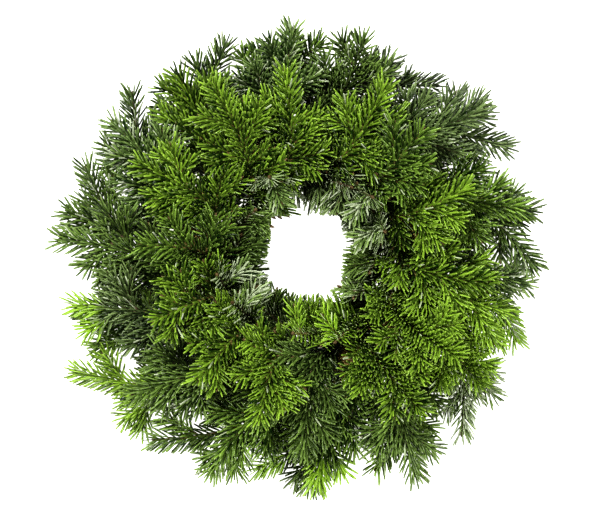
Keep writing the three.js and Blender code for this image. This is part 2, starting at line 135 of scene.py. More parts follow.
# The length of a side shoot's partner across the stem, as a share of its own, and how many times
# that it is on the stem's right and on its left.
PARTNER_SHARES = dict(skirt=(0.3, 0.5), shoulder=(0.35, 0.6), crown=(0.3, 0.55), lip=(0.6, 0.85))
PARTNER_RIGHT = 1.25
PARTNER_LEFT = 0.7
PARTNER_BACK = (2.0, 7.0)  # how far before its side shoot's root it starts
PARTNER_WIDER = (-0.05, 0.2)  # how much wider its angle is, in radians
# Short shoots near the butt.
BASAL_SHOOTS = 4
BASAL_START = 5.0  # from the wire to the first of them
BASAL_STEP = 7.0
BASAL_ANGLES = (40, 90)
BASAL_RISE = 0.2
BASAL_LENGTHS = (22, 34)
# Short shoots that lean in over the hole.
INWARD_SHOOTS = 4
INWARD_FROM, INWARD_SPAN = 0.2, 0.75  # the stretch of the stem that bears them
INWARD_PLACES = (0.2, 0.8)  # where in its own part of that stretch one starts
INWARD_RISE = 0.15
INWARD_FORWARD = 0.6
INWARD_SHORTER = (3, 11)  # how far outside the clear hole one ends
INWARD_LENGTHS = (6.0, 26.0)
# The two small shoots of a side shoot that is at least this long.
FORKS_AGAIN = 41.0
TWIN_PLACES = (0.3, 0.5)
TWIN_ANGLES = (38, 52)
TWIN_SHARES = (0.4, 0.55)
HOLE_CLEAR = 36.0  # radius round the middle that shoots and needles keep out of

# ---- needles ----

# Needle length and width in mm, needles per mm of twig, share of needles turned underside up, and
# the usual tint, from 0, the oldest, to 1, the youngest.
HABITS = {
    "bright": dict(length=20.0, width=2.1, dense=1.2, turned=0.012, tint=0.42),
    "green": dict(length=21.0, width=2.1, dense=1.2, turned=0.015, tint=0.4),
    "dark": dict(length=21.0, width=2.05, dense=1.15, turned=0.025, tint=0.36),
    "dusky": dict(length=21.0, width=2.0, dense=1.15, turned=0.04, tint=0.4),
    "silver": dict(length=20.0, width=2.1, dense=1.2, turned=0.12, tint=0.4),
}
# Sprigs whose needles all stand up like a brush's.
BRUSHED = {"crown_05", "crown_06", "shoulder_05", "shoulder_14", "skirt_14", "shoulder_01"}
# Sprigs whose last shoots are this year's, pale and yellow-green.
FRESH_TIPPED = {"shoulder_07", "shoulder_10", "lip_05", "skirt_04", "skirt_07"}
FRESH_REACH = 32.0
# Rosettes that lie on their backs.
UPTURNED = {"lip_01", "lip_02", "lip_08", "lip_09", "skirt_05"}
UPTURNED_SHARE = 0.6
# Sprigs whose needles droop into the hole and show their undersides there.
FRINGED = {"lip_14", "lip_13"}
FRINGE_SHARE = 0.5
FRINGE_INWARD = 0.35  # how far inwards such a needle points at least
# How much lighter (or, below 0, darker) than its foliage a sprig is, in tints: its own tone, and painted
# light and shade.
# Painted shade darkens the sprigs at the top, which the key lamp lights most; painted light lifts many
# away from it.
TONE_AND_PAINTED_LIGHT = {
    "skirt_01": -0.06, "skirt_04": 0.1, "skirt_05": 0.08, "skirt_06": 0.1, "skirt_08": 0.08,
    "skirt_09": 0.15, "skirt_12": -0.08, "skirt_13": -0.1, "skirt_14": -0.12,
    "shoulder_04": 0.05, "shoulder_05": 0.08, "shoulder_09": 0.08, "shoulder_13": -0.06,
    "shoulder_14": -0.12, "crown_13": -0.05, "crown_14": -0.06,
    "lip_01": 0.1, "lip_02": 0.14, "lip_03": 0.14, "lip_04": 0.14, "lip_06": 0.1, "lip_07": 0.12,
    "lip_08": 0.14, "lip_10": 0.12, "lip_11": 0.14, "lip_12": 0.1, "lip_13": 0.08, "lip_14": 0.16,
}
MOODS = (-0.14, 0.04)  # how much lighter a sprig may be by chance
SHOOT_MOOD = 0.07  # how much its shoots differ from it
TINT_NOISE = 0.16  # and its needles from each other
NEEDLE_THICK = 0.8
GOLDEN = 137.508  # degrees from one needle to the next about the twig
STATIONS = (0.0, 0.3, 0.8, 0.97)  # places along a needle, which ends in a blunt point
STATION_WIDTHS = (0.55, 1.0, 1.0, 0.78)
# A needle's section: a rounded top, sharp edges and a keel below, as (across, up).
SECTION = ((-1.0, 0.0), (0.0, 0.55), (1.0, 0.0), (0.0, -0.45))
SECTION_U = (0.0, 0.25, 0.5, 0.75, 1.0)  # the way round it in the map: the top, then below
TOP_LEAN = 35.0  # a needle's angle to its twig, above it and at its sides
SIDE_LEAN = 54.0
END_LEAN = 33.0
BRUSH_LEAN = 26.0  # how much more a brushed sprig's needles stand up
BRUSH_DENSE = 1.4  # and how much denser they are
LEAN_NOISE = 3.5
# The furthest that a needle turns from the top of its twig, and the power that spreads the turns.
SPREAD_TURN = (110.0, 0.95)
BRUSH_TURN = (82.0, 1.0)
TURN_NOISE = 3
SPRAY_ROLL = 22.0  # how far a whole spray may roll about its twig
PLACE_NOISE = 0.4  # how far a needle grows from its even place, in spacings
START_ZONE = 14.0  # the stretch of twig at its start where needles are shorter
END_ZONE = 16.0  # and the one at its end where they close round the bud
START_SIZE = 0.72
END_SIZE = 0.92
END_SPREAD = 0.25  # how much of their lean needles keep at the twig's end
TOP_SHORTER = 0.16  # how much shorter the needles on top of the twig are
SIZES = (0.92, 1.06)
WIDTHS = (0.88, 1.1)
CURL_ALONG, CURL_UP, CURL_IN = 0.14, 0.06, 0.04
CURL_NOISE = 0.012
FACE_FORWARD = 0.25  # how far the face of a needle on top tilts along the twig
FACE_NOISE = 0.12
FRESH_TINTS = (0.86, 1.0)
YOUNGEST = 0.75  # the lightest tint of other needles
END_YOUNGER = 0.1  # how much lighter needles are at a twig's end
AGEING_AND_SHADE = 0.42  # how much darker they get towards the butt: older needles, and painted shade under the sprigs above
AGEING_AND_SHADE_FROM = 0.25  # the share of the sprig, from its tip, before they do
LOWEST = 2.5  # height that no needle's tip goes below
TRIMS = (0.45, 0.6, 0.75, 0.9, 1.0)  # shares of its length that a needle may be cut back to

TINTS = 24
TINT_COLUMNS = 4
TWIG_BAND = 0.2  # share of the bake map that holds the twigs
CELL_PAD = 0.03

ring_low, ring_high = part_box("straw_ring")
CENTRE = np.array([(ring_low[0] + ring_high[0]) / 2, (ring_low[1] + ring_high[1]) / 2, 0.0])
# The open box in the middle, in millimetres about the middle of the hole.
OPENING = (np.array(frame["record"]["physics"]["openings"][0]["box_m"]) - CENTRE) / MM
OPENING_MARGIN = 0.5


def random_from(seed):
    """The same small repeatable generator as the solid model's."""
    state = (seed * 2654435761) & 0xFFFFFFFF
    while True:
        state = (state * 1664525 + 1013904223) & 0xFFFFFFFF
        yield state / 4294967296


def clock_point(clock, radius, height):
    """A point, or a direction, by its clock angle."""
    angle = math.radians(clock)
    return np.array([radius * math.cos(angle), radius * math.sin(angle), height])


def straw_point(clock, section, off):
    """A point off the straw's skin by a distance, by its clock and section angles."""
    angle = math.radians(section)
    radius = RING_RADIUS + (RING_HALF_WIDTH + off) * math.cos(angle)
    return clock_point(clock, radius, RING_MIDDLE + (RING_HALF_HEIGHT + off) * math.sin(angle))


def wire_clock(turn, section):
    """The clock angle of the wire where one of its turns passes a section angle."""
    return 90.0 - PITCH * (turn + (section - 90.0) / 360.0)


def unit(v):
    """Vectors scaled to length 1."""
    return v / np.maximum(np.linalg.norm(v, axis=-1, keepdims=True), 1e-9)


def rising(start, share):
    """A number that goes from start to 1 as share does from 0 to 1."""
    return start + (1 - start) * share


CURVE_POINTS = 201
WAY_STEP = 0.01  # share of a curve over which its direction is taken


class Curve:
    """A curve by its points, read by distance along it."""

    def __init__(self, points):
        self.points = points
        steps = np.linalg.norm(np.diff(points, axis=0), axis=1)
        self.marks = np.concatenate([[0.0], np.cumsum(steps)])
        self.length = self.marks[-1]

    def at(self, distance):
        return np.stack([np.interp(distance, self.marks, self.points[:, k]) for k in range(3)], -1)

    def way(self, distance):
        step = self.length * WAY_STEP
        ahead = np.minimum(np.add(distance, step), self.length)
        behind = np.maximum(np.subtract(distance, step), 0.0)
        return unit(self.at(ahead) - self.at(behind))


def bezier(*corners):
    """A quadratic or cubic curve."""
    t = np.linspace(0.0, 1.0, CURVE_POINTS)[:, None]
    degree = len(corners) - 1
    return Curve(sum(math.comb(degree, i) * t**i * (1 - t) ** (degree - i) * c
                     for i, c in enumerate(corners)))


def stem_curve(row, turn, tip):
    """A sprig's stem: along the straw where it is bound, then out to its tip."""
    section, lean = ROWS[row]["section"], math.radians(ROWS[row]["lean"])
    bound = wire_clock(turn, section)
    seat = straw_point(bound, section, SEAT)
    along = clock_point(bound - 90.0, 1.0, 0.0)
    off = clock_point(bound, math.cos(math.radians(section)), math.sin(math.radians(section)))
    cut = seat - along * BUTT
    end = clock_point(*tip[:3])
    reach = KNEE * np.linalg.norm(end - cut)
    knee = seat + along * reach * math.cos(lean) + off * reach * math.sin(lean)
    return bezier(cut, seat + along * HUG, knee, end)


def face_of(row, point):
    """The way that a spray faces at a point: up, tipped outwards by the row's angle."""
    tip = math.radians(ROWS[row]["tip"])
    clock = math.degrees(math.atan2(point[1], point[0]))
    return clock_point(clock, math.sin(tip), math.cos(tip))


def shoot(start, forward, way, length):
    """A side shoot that sets off along way and bends a little towards forward."""
    end = unit(way + forward * SIDE_TURN)
    knee = start + way * length / 2
    return bezier(start, knee, knee + end * length / 2)


def spread(row, curve, along, angle, side):
    """The direction of a shoot that leaves a curve on one side, in the plane of the spray."""
    forward = curve.way(along)
    sideways = unit(np.cross(forward, face_of(row, curve.at(along)))) * side
    return forward, forward * math.cos(angle) + sideways * math.sin(angle)


def side_curves(row, stem, random):
    """The side shoots of a stem that the solid model has, each with its place, angle and side."""
    rules = ROWS[row]
    first = 1 if next(random) < 0.5 else -1
    whorls = max(1, round((stem.length - rules["bare"]) / WHORL))
    step = (stem.length - rules["bare"]) / whorls
    roots = [rules["bare"] + step * (i + 1) - WHORL_BACK for i in range(whorls)]
    shoots = []
    for i in range(rules["shoots"]):
        along = stem.length * (rules["fork"] + FORKED / rules["shoots"] * i + FORK_JITTER * next(random))
        share = SIDE_SHARE + SIDE_SPREAD * next(random)
        angle = math.radians(FORK_ANGLE + FORK_SPREAD * next(random))
        length = min(rules["longest"], (stem.length - along) * share + SIDE_EXTRA)
        side = first if i % 2 == 0 else -first
        forward, way = spread(row, stem, along, angle, side)
        root = min(roots, key=lambda place: abs(place - along))
        shoots.append((shoot(stem.at(root), forward, way, length), root, angle, side))
    return shoots


def partner_shoots(row, stem, sides, draws):
    """Each side shoot, followed by its smaller partner across the stem."""
    for curve, root, angle, side in sides:
        yield curve, SIDE_BARE, SIDE_ROOT_RADIUS
        along = root - draws.uniform(*PARTNER_BACK)
        forward, way = spread(row, stem, along, angle + draws.uniform(*PARTNER_WIDER), -side)
        share = draws.uniform(*PARTNER_SHARES[row]) * (PARTNER_RIGHT if side < 0 else PARTNER_LEFT)
        partner = shoot(stem.at(along), forward, way, curve.length * share)
        yield partner, SIDE_BARE, SIDE_ROOT_RADIUS


def basal_shoots(row, stem, draws):
    """Short shoots near the butt, which cover the straw."""
    for k in range(BASAL_SHOOTS):
        side = 1 if k % 2 else -1
        along = BUTT + BASAL_START + BASAL_STEP * k
        forward, way = spread(row, stem, along, math.radians(draws.uniform(*BASAL_ANGLES)), side)
        way = unit(way + face_of(row, stem.at(along)) * BASAL_RISE)
        curve = shoot(stem.at(along), forward, way, draws.uniform(*BASAL_LENGTHS))
        yield curve, SIDE_BARE, SIDE_ROOT_RADIUS


def inward_shoots(stem, draws):
    """Short shoots that a sprig at the rim of the hole sends in over it."""
    for k in range(INWARD_SHOOTS):
        part = (k + draws.uniform(*INWARD_PLACES)) / INWARD_SHOOTS
        along = stem.length * (INWARD_FROM + INWARD_SPAN * part)
        start = stem.at(along)
        inward = -clock_point(math.degrees(math.atan2(start[1], start[0])), 1.0, INWARD_RISE)
        way = unit(stem.way(along) * INWARD_FORWARD + inward)
        room = np.hypot(start[0], start[1]) - HOLE_CLEAR
        length = np.clip(room - draws.uniform(*INWARD_SHORTER), *INWARD_LENGTHS)
        yield shoot(start, inward, way, length), SIDE_BARE, STEM_TIP_RADIUS


def twin_shoots(row, curve, draws):
    """Two small shoots, one on each side of a long one."""
    for side in (-1, 1):
        along = curve.length * draws.uniform(*TWIN_PLACES)
        forward, way = spread(row, curve, along, math.radians(draws.uniform(*TWIN_ANGLES)), side)
        length = curve.length * draws.uniform(*TWIN_SHARES)
        yield shoot(curve.at(along), forward, way, length), SIDE_BARE, STEM_TIP_RADIUS


def all_shoots(row, stem, random, draws):
    """Every shoot of a sprig as (curve, bare length, root radius), its stem first."""
    sides = side_curves(row, stem, random)
    shoots = [*partner_shoots(row, stem, sides, draws), *basal_shoots(row, stem, draws)]
    if row == "lip":
        shoots += inward_shoots(stem, draws)
    for curve, _, _ in list(shoots):
        if curve.length >= FORKS_AGAIN:
            shoots += twin_shoots(row, curve, draws)
    return [(stem, ROWS[row]["bare"] * BARE_SHARE, BUTT_RADIUS), *shoots]


# ---- meshes ----

NEEDLE_LOOK, BARK_LOOK, BUD_LOOK, CUT_LOOK = range(4)  # a sprig's materials, in their order
MIDDLE_TINT = 0.5


def put_in_scene(name, data):
    body = bpy.data.objects.new(name, data)
    bpy.context.scene.collection.objects.link(body)
    return body


class Skin:
    """Corners and faces of a mesh, with each face's look and its places in two maps."""

    def __init__(self):
        self.points, self.faces, self.looks = [], [], []
        self.maps = {"Needle": [], "OFBake": []}
        self.tints = []
        self.count = 0

    def add_points(self, points):
        """Adds corners (n, 3) and returns the number of the first."""
        first = self.count
        self.points.append(points)
        self.count += len(points)
        return first

    def add_faces(self, faces, look, needle_map, bake_map, tints):
        """Adds faces (m, k) by their corners' numbers, maps (m, k, 2) and a tint for each face."""
        self.faces.append(faces)
        self.looks.append(np.full(len(faces), look))
        self.maps["Needle"].append(needle_map.reshape(-1, 2))
        self.maps["OFBake"].append(bake_map.reshape(-1, 2))
        self.tints.append(np.broadcast_to(tints, len(faces)))

    def piece(self, name, materials):
        """Makes the object, with its place in its mesh."""
        mesh = bpy.data.meshes.new(name)
        corners = np.concatenate(self.points) * MM + CENTRE
        faces = [face for block in self.faces for face in block.tolist()]
        mesh.from_pydata(corners, [], faces)
        mesh.polygons.foreach_set("use_smooth", np.ones(len(faces), bool))
        mesh.polygons.foreach_set("material_index", np.concatenate(self.looks).astype(np.int32))
        for map_name, places in self.maps.items():
            layer = mesh.uv_layers.new(name=map_name)
            layer.data.foreach_set("uv", np.concatenate(places).astype(np.float32).ravel())
        tint = mesh.attributes.new("Tint", "FLOAT", "FACE")
        tint.data.foreach_set("value", np.concatenate(self.tints).astype(np.float32))
        for material in materials:
            mesh.materials.append(material)
        mesh.update()
        return put_in_scene(name, mesh)


def needle_corners(roots, ways, tops, curls, lengths, widths):
    """Each needle's corners (needles, corners, 3): four at each station, then its point."""
    across = unit(np.cross(ways, tops))
    blocks = []
    for station, share in zip(STATIONS, STATION_WIDTHS):
        middle = roots + ways * (lengths * station)[:, None] + curls * (lengths * station**2)[:, None]
        for a, up in SECTION:
            blocks.append(middle + across * (a * share * widths / 2)[:, None]
                          + tops * (up * share * NEEDLE_THICK))
    blocks.append(roots + ways * lengths[:, None] + curls * lengths[:, None])
    return np.stack(blocks, 1)


def needle_faces():
    """One needle's four-cornered faces and those round its point, each with places in the map."""
    sides, rings = len(SECTION), len(STATIONS)
    quads, quad_map = [], []
    tips, tip_map = [], []
    for side in range(sides):
        after = (side + 1) % sides
        low, high = SECTION_U[side], SECTION_U[side + 1]
        for ring in range(rings - 1):
            here, there = ring * sides, (ring + 1) * sides
            quads.append((here + side, here + after, there + after, there + side))
            y0, y1 = STATIONS[ring], STATIONS[ring + 1]
            quad_map.append(((low, y0), (high, y0), (high, y1), (low, y1)))
        last = (rings - 1) * sides
        tips.append((last + side, last + after, rings * sides))
        y0 = STATIONS[-1]
        tip_map.append(((low, y0), (high, y0), ((low + high) / 2, 1.0)))
    return (np.array(quads), np.array(quad_map)), (np.array(tips), np.array(tip_map))


def needle_bake_map(needle_map, tint):
    """Places in the bake map, where each tint has a cell of its own above the twigs' band."""
    cell = np.round(tint * (TINTS - 1))
    column, row = cell % TINT_COLUMNS, cell // TINT_COLUMNS
    rows = TINTS / TINT_COLUMNS
    padded = CELL_PAD + needle_map * (1 - 2 * CELL_PAD)
    bake_map = np.empty_like(padded)
    bake_map[..., 0] = (column[:, None] + padded[..., 0]) / TINT_COLUMNS
    bake_map[..., 1] = TWIG_BAND + (1 - TWIG_BAND) * (row[:, None] + padded[..., 1]) / rows
    return bake_map


def add_needles(skin, roots, ways, tops, curls, lengths, widths, tints):
    """Adds needles as rods of four-cornered section, each curved by its curl."""
    corners = needle_corners(roots, ways, tops, curls, lengths, widths)
    count, per_needle = corners.shape[:2]
    first = skin.add_points(corners.reshape(-1, 3))
    firsts = (first + np.arange(count) * per_needle)[:, None, None]
    for faces, places in needle_faces():
        index = (firsts + faces[None]).reshape(-1, faces.shape[1])
        needle_map = np.broadcast_to(places, (count, *places.shape)).reshape(-1, *places.shape[1:])
        tint = np.repeat(tints, len(faces))
        skin.add_faces(index, NEEDLE_LOOK, needle_map, needle_bake_map(needle_map, tint), tint)


def tube(curve, distances, radii, sides, first_normal):
    """Rings of corners along a curve, carried along it without twisting."""
    centres, ways = curve.at(distances), curve.way(distances)
    turns = np.linspace(0.0, 2 * math.pi, sides, endpoint=False)
    normal = first_normal
    rings = []
    for centre, way, radius in zip(centres, ways, radii):
        normal = unit(normal - way * normal.dot(way))
        across = np.cross(way, normal)
        rings.append(centre + radius * (np.cos(turns)[:, None] * normal + np.sin(turns)[:, None] * across))
    return np.concatenate(rings)


def tube_faces(rings, sides, closed=False):
    """Faces (m, 4) between rings of corners, and their places (along, around) from 0 to 1."""
    faces, places = [], []
    spans = rings if closed else rings - 1
    for i in range(spans):
        here, there = i * sides, (i + 1) % rings * sides
        for side in range(sides):
            after = (side + 1) % sides
            faces.append((here + side, here + after, there + after, there + side))
            x0, x1 = i / spans, (i + 1) / spans
            y0, y1 = side / sides, (side + 1) / sides
            places.append(((x0, y0), (x0, y1), (x1, y1), (x1, y0)))
    return np.array(faces), np.array(places)


TWIG_SIDES = 8
TWIG_STEP = 4.0
TWIG_NOISE = 0.06  # how much a twig's radius varies, as a share of it
POINT_RADIUS = 0.02  # the radius that closes a cut end
UPRIGHT = unit(np.array([0.02, 0.01, 1.0]))
# The bud that closes each shoot, as (distance from the shoot's end, radius in twig radii).
BUD_RINGS = ((0.2, 1.0), (0.5, 1.35), (1.6, 1.75), (3.2, 1.6), (4.6, 1.0), (5.6, 0.4), (6.0, 0.02))
BUD_STOUTER = 0.1  # a bud's size is its twig's share of a butt's, and this
# How far a twig's strip in the bake map stays off its neighbours, along it and across.
STRIP_END = 0.01
STRIP_EDGE = 0.08


def add_twig(skin, curve, root_radius, strip, strips, random):
    """Adds a shoot's bark and its bud, and closes its cut end."""
    steps = max(4, int(curve.length / TWIG_STEP))
    along = np.linspace(0.0, curve.length, steps + 1)
    radii = root_radius + (STEM_TIP_RADIUS - root_radius) * along / curve.length
    radii = radii * (1 + random.uniform(-TWIG_NOISE, TWIG_NOISE, len(radii)))
    bark = tube(curve, along, radii, TWIG_SIDES, UPRIGHT)
    end = curve.at(curve.length)
    bud_radius = STEM_TIP_RADIUS * min(1.0, root_radius / BUTT_RADIUS + BUD_STOUTER)
    bud_curve = Curve(np.stack([end, end + curve.way(curve.length) * BUD]))
    bud_places, bud_radii = np.array(BUD_RINGS).T
    bud = tube(bud_curve, bud_places, bud_radii * bud_radius, TWIG_SIDES, UPRIGHT)
    cut = tube(curve, np.zeros(1), np.array([POINT_RADIUS]), TWIG_SIDES, UPRIGHT)
    points = np.concatenate([cut, bark, bud])
    rings = len(points) // TWIG_SIDES
    faces, places = tube_faces(rings, TWIG_SIDES)
    looks = np.full(rings - 1, BARK_LOOK)
    looks[0] = CUT_LOOK
    looks[steps + 1:] = BUD_LOOK
    bake = np.empty_like(places)
    bake[..., 0] = STRIP_END + (1 - 2 * STRIP_END) * places[..., 0]
    across = strip + STRIP_EDGE + (1 - 2 * STRIP_EDGE) * places[..., 1]
    bake[..., 1] = TWIG_BAND * across / strips
    first = skin.add_points(points)
    for look in (BARK_LOOK, BUD_LOOK, CUT_LOOK):
        chosen = np.repeat(looks == look, TWIG_SIDES)
        skin.add_faces(first + faces[chosen], look, places[chosen], bake[chosen], MIDDLE_TINT)


def needle_plan(row, curve, bare, habit, stem, sprig, tone_and_light, random):
    """Where a shoot's needles grow and which way they go, by distance along it.

    Needles get older and darker towards the butt of the sprig's stem, which is also painted shade
    under the sprigs above, and the sprig's tone, which holds painted light and shade too, makes them
    all lighter or darker.
    """
    brushed = sprig in BRUSHED
    span = curve.length - bare
    count = int(span * habit["dense"] * (BRUSH_DENSE if brushed else 1.0))
    places = np.arange(count) + random.uniform(-PLACE_NOISE, PLACE_NOISE, count)
    along = np.clip(bare + span * places / count, bare, curve.length)
    points, ways = curve.at(along), curve.way(along)
    faces = np.array([face_of(row, p) for p in points])
    roll = math.radians(random.uniform(-SPRAY_ROLL, SPRAY_ROLL))
    faces = unit(faces - ways * (faces * ways).sum(1)[:, None])
    across = np.cross(ways, faces)
    faces, across = (faces * math.cos(roll) + across * math.sin(roll),
                     across * math.cos(roll) - faces * math.sin(roll))
    # Evenly round the twig, then drawn up from below it towards its sides.
    turn = (np.arange(count) * GOLDEN + random.uniform(0, 360)) % 360.0 - 180.0
    widest, bias = BRUSH_TURN if brushed else SPREAD_TURN
    turn = np.sign(turn) * (np.abs(turn) / 180.0) ** bias * widest
    turn += random.uniform(-TURN_NOISE, TURN_NOISE, count)
    aside = np.minimum(np.abs(turn) / 90.0, 1.0)
    to_end = np.clip((curve.length - along) / END_ZONE, 0.0, 1.0)
    lean = TOP_LEAN + (SIDE_LEAN - TOP_LEAN) * aside + BRUSH_LEAN * brushed
    lean = END_LEAN + (lean - END_LEAN) * rising(END_SPREAD, to_end)
    lean += random.uniform(-LEAN_NOISE, LEAN_NOISE, count)
    lean, turn = np.radians(lean)[:, None], np.radians(turn)[:, None]
    out = faces * np.cos(turn) + across * np.sin(turn)
    way = ways * np.cos(lean) + out * np.sin(lean)
    curls = ways * CURL_ALONG + faces * CURL_UP - out * CURL_IN
    curls += random.normal(0, CURL_NOISE, (count, 3))
    from_start = np.clip((along - bare) / START_ZONE, 0.0, 1.0)
    sizes = rising(START_SIZE, from_start) * rising(END_SIZE, to_end) * random.uniform(*SIZES, count)
    lengths = habit["length"] * sizes * (1.0 - TOP_SHORTER * (1 - aside))
    tops = faces + ways * FACE_FORWARD * (1 - aside)[:, None]
    tops += random.normal(0, FACE_NOISE, (count, 3))
    tops = unit(tops - way * (tops * way).sum(1)[:, None])
    tops[turned_needles(sprig, habit, points, out, random)] *= -1
    cut, tip = stem.points[0], stem.points[-1]
    # Painted shade as well as age: needles darken towards the butt, which lies under the sprigs above.
    nearness_to_butt = 1 - np.linalg.norm(points - cut, axis=1) / np.linalg.norm(tip - cut)
    young = END_YOUNGER * (1 - to_end) - AGEING_AND_SHADE * np.clip(nearness_to_butt - AGEING_AND_SHADE_FROM, 0, 1)
    tints = habit["tint"] + tone_and_light + young + random.normal(0, TINT_NOISE, count)
    tints = np.clip(tints, 0, YOUNGEST)
    if sprig in FRESH_TIPPED:
        fresh = np.linalg.norm(points - tip, axis=1) < FRESH_REACH
        tints[fresh] = random.uniform(*FRESH_TINTS, fresh.sum())
    tints = np.round(tints * (TINTS - 1)) / (TINTS - 1)
    widths = habit["width"] * random.uniform(*WIDTHS, count)
    return points, way, tops, curls, lengths, widths, tints


def turned_needles(sprig, habit, points, out, random):
    """Which of a shoot's needles lie underside up."""
    count = len(points)
    share = UPTURNED_SHARE if sprig in UPTURNED else habit["turned"]
    turned = random.uniform(0, 1, count) < share
    if sprig in FRINGED:
        inward = -unit(points * (1.0, 1.0, 0.0))
        droops = (out * inward).sum(1) > FRINGE_INWARD
        turned |= droops & (random.uniform(0, 1, count) < FRINGE_SHARE)
    return turned


def in_free_space(points):
    """Whether points keep out of the straw and out of the hole."""
    radius = np.hypot(points[:, 0], points[:, 1])
    in_ring = np.hypot((radius - RING_RADIUS) / RING_HALF_WIDTH,
                       (points[:, 2] - RING_MIDDLE) / RING_HALF_HEIGHT) < 1
    in_box = np.all((points[:, :2] > OPENING[0, :2] - OPENING_MARGIN)
                    & (points[:, :2] < OPENING[1, :2] + OPENING_MARGIN), axis=1)
    return ~in_ring & ~in_box & (radius > HOLE_CLEAR)


def trimmed(roots, ways, curls, lengths):
    """Needle lengths cut back to what is free, which is nothing for some."""
    kept = np.zeros_like(lengths)
    for share in TRIMS:
        reach = lengths * share
        tips = roots + (ways + curls) * reach[:, None]
        middles = roots + (ways + curls * 0.5) * (reach * 0.5)[:, None]
        kept = np.where(in_free_space(tips) & in_free_space(middles), reach, kept)
    return kept


FIRST_SEED = 100


def grow_sprig(number, row, turn, tip, materials):
    """One sprig: stem and side shoots with bark and buds, and all their needles."""
    sprig = f"{row}_{turn + 1:02d}"
    stem = stem_curve(row, turn, tip)
    random = np.random.default_rng(FIRST_SEED + number)
    habit = HABITS[tip[3]]
    skin = Skin()
    shoots = all_shoots(row, stem, random_from(number + 1), random)
    # The lift adds painted light and shade to the sprig's tone.
    tone_and_light = random.uniform(*MOODS) + TONE_AND_PAINTED_LIGHT.get(sprig, 0.0)
    for strip, (curve, bare, radius) in enumerate(shoots):
        add_twig(skin, curve, radius, strip, len(shoots), random)
        shoot_tone_and_light = tone_and_light + random.normal(0.0, SHOOT_MOOD)
        plan = needle_plan(row, curve, bare, habit, stem, sprig, shoot_tone_and_light, random)
        roots, ways, tops, curls, lengths, widths, tints = plan
        tips = roots + (ways + curls) * lengths[:, None]
        curls[:, 2] += np.clip(LOWEST - tips[:, 2], 0, None) / lengths
        lengths = trimmed(roots, ways, curls, lengths)
        free = lengths > 0
        add_needles(skin, *[part[free] for part in (roots, ways, tops, curls, lengths, widths, tints)])
    piece = skin.piece(f"fir_sprig_{sprig}_needles", materials)
    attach(piece, "root")
    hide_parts(f"fir_sprig_{sprig}")


# ---- materials ----

# Where a Mix node keeps its two values and their mix, by what it mixes.
MIX_SOCKETS = {"RGBA": (6, 7, 2), "FLOAT": (2, 3, 0)}


class Nodes:
    """A material's node tree, built by short calls."""

    def __init__(self, name):
        self.material = bpy.data.materials.new(name)
        self.material.use_nodes = True
        self.tree = self.material.node_tree
        self.shader = self.tree.nodes["Principled BSDF"]

    def new(self, kind, **settings):
        node = self.tree.nodes.new("ShaderNode" + kind)
        for key, value in settings.items():
            setattr(node, key, value)
        return node

    def link(self, source, target):
        self.tree.links.new(source, target)

    def put(self, value, socket):
        """Links a socket or sets a number or a colour."""
        if isinstance(value, bpy.types.NodeSocket):
            self.link(value, socket)
        else:
            socket.default_value = value

    def math(self, operation, first, second):
        node = self.new("Math", operation=operation)
        for value, socket in zip((first, second), node.inputs):
            self.put(value, socket)
        return node.outputs[0]

    def mix(self, share, first, second, kind="RGBA"):
        """A colour between two, or a number if kind is FLOAT."""
        low, high, result = MIX_SOCKETS[kind]
        node = self.new("Mix", data_type=kind)
        for value, socket in zip((share, first, second), (0, low, high)):
            self.put(value, node.inputs[socket])
        return node.outputs[result]

    def blend(self, share, first, second):
        """A number between two."""
        return self.mix(share, first, second, "FLOAT")

    def ramp(self, value, *stops):
        """A number that follows stops of (place, number)."""
        node = self.new("ValToRGB")
        elements = node.color_ramp.elements
        while len(elements) < len(stops):
            elements.new(0.5)
        for element, (place, number) in zip(elements, stops):
            element.position = place
            element.color = (number, number, number, 1.0)
        self.put(value, node.inputs[0])
        return node.outputs[0]

    def noise(self, vector, scale, detail=3.0):
        """Noise of so many cells a unit, from 0 to 1."""
        node = self.new("TexNoise")
        node.inputs["Scale"].default_value = scale
        node.inputs["Detail"].default_value = detail
        self.put(vector, node.inputs["Vector"])
        return node.outputs["Fac"]

    def cells(self, vector, scale, feature="F1"):
        """Distance in so many cells a unit, to their middles or as feature says."""
        node = self.new("TexVoronoi", feature=feature)
        node.inputs["Scale"].default_value = scale
        self.put(vector, node.inputs["Vector"])
        return node.outputs["Distance"]

    def surface(self, base, roughness):
        self.link(base, self.shader.inputs["Base Color"])
        self.link(roughness, self.shader.inputs["Roughness"])

    def bump(self, height, strength, distance):
        """Raises the surface by a height from 0 to 1, over a distance in metres."""
        node = self.new("Bump")
        node.inputs["Strength"].default_value = strength
        node.inputs["Distance"].default_value = distance
        self.put(height, node.inputs["Height"])
        self.link(node.outputs[0], self.shader.inputs["Normal"])


def colour(red, green, blue):
    """A colour given as it shows on a screen, from 0 to 255."""
    def linear(c):
        c /= 255.0
        return c / 12.92 if c <= 0.04045 else ((c + 0.055) / 1.055) ** 2.4
    return (linear(red), linear(green), linear(blue), 1.0)


FRESH = colour(154, 192, 60)  # this year's needles
SILVER = colour(204, 212, 184)  # the waxy bands below
